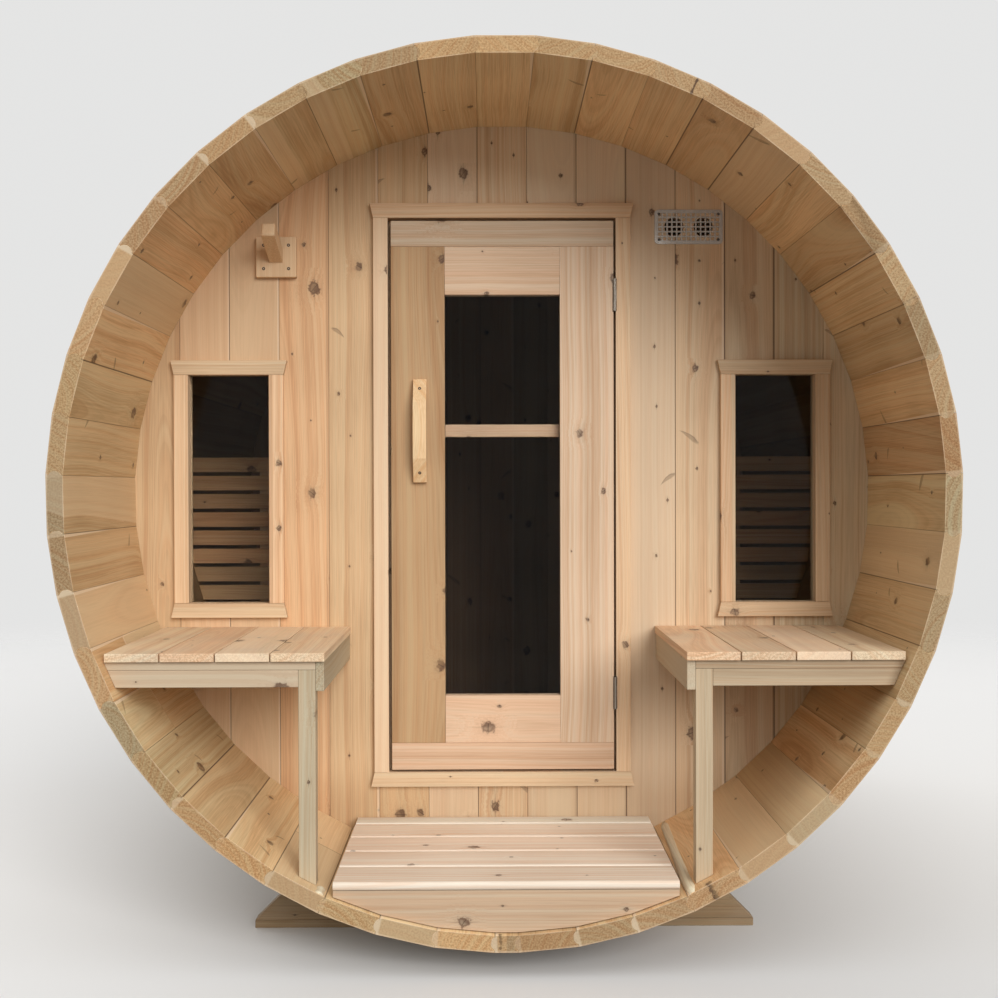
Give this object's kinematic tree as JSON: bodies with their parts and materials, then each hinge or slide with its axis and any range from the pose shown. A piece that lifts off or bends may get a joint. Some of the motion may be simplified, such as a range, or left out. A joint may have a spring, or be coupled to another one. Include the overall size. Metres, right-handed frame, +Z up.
{
  "type": "barrel sauna",
  "caption": "Barrel-shaped wooden sauna cabin with a covered front porch, a bench on either side of it, a glazed door that swings outward and fixed side windows.",
  "frame": {"origin": "on the ground, under the middle of the barrel's length and width", "axes": "+Z up; the door and porch end faces -Y; the barrel lies along Y"},
  "size_m": [2.0052, 2.4, 2.0613],
  "materials": {
    "bench_cedar": "planed cedar, a little greyed",
    "hook_cedar": "smooth planed",
    "cradle_cedar": "sawn",
    "deck_cedar": "planed pale cedar",
    "door_cedar": "smooth planed cedar",
    "trim_cedar": "smooth planed cedar",
    "clear_glass": "polished, dark room behind",
    "pull_wood": "sanded pale wood",
    "hinge_steel": "satin",
    "wall_cedar": "smooth planed knotty cedar",
    "slat_wood": "planed",
    "stave_cedar": "smooth planed cedar",
    "galvanised_steel": "galvanised",
    "vent_metal": "galvanised, satin"
  },
  "bodies": {
    "sauna": {"bench_apron_left": "bench_cedar", "bench_apron_right": "bench_cedar", "bench_boards_left": "bench_cedar", "bench_boards_right": "bench_cedar", "bench_post_left": "bench_cedar", "bench_post_right": "bench_cedar", "bench_rails_left": "bench_cedar", "bench_rails_right": "bench_cedar", "coat_hook": "hook_cedar", "cradle_front": "cradle_cedar", "cradle_rear": "cradle_cedar", "deck_boards": "deck_cedar", "deck_fascia": "deck_cedar", "deck_runners": "deck_cedar", "door_casing": "trim_cedar", "door_frame": "trim_cedar", "door_stops": "trim_cedar", "frame_hinges": "hinge_steel", "front_wall_left": "wall_cedar", "front_wall_over_door": "wall_cedar", "front_wall_right": "wall_cedar", "front_wall_under_door": "wall_cedar", "rear_wall": "wall_cedar", "room_floor": "deck_cedar", "room_runners": "deck_cedar", "slat_uprights_left": "slat_wood", "slat_uprights_right": "slat_wood", "slats_left": "slat_wood", "slats_right": "slat_wood", "staves_bottom": "stave_cedar", "staves_left": "stave_cedar", "staves_lower_left": "stave_cedar", "staves_lower_right": "stave_cedar", "staves_right": "stave_cedar", "staves_top": "stave_cedar", "staves_upper_left": "stave_cedar", "staves_upper_right": "stave_cedar", "steel_bands": "galvanised_steel", "vent_grille": "vent_metal", "window_casing_left": "trim_cedar", "window_casing_right": "trim_cedar", "window_frame_left": "trim_cedar", "window_frame_right": "trim_cedar", "window_glass_left": "clear_glass", "window_glass_right": "clear_glass"},
    "door": {"door_bottom_rail": "door_cedar", "door_cross_bar": "door_cedar", "door_glass": "clear_glass", "door_handle": "pull_wood", "door_handle_stile": "door_cedar", "door_hinge_stile": "door_cedar", "door_hinges": "hinge_steel", "door_lower_rail": "door_cedar", "door_top_rail": "door_cedar", "door_upper_rail": "door_cedar"}
  },
  "joints": [
    {"name": "door_hinge", "type": "hinge", "parent": "sauna", "child": "door", "pos_m": [0.294, -0.622, 1.0598], "axis": [0, 0, 1], "range_deg": [0, 95]}
  ]
}
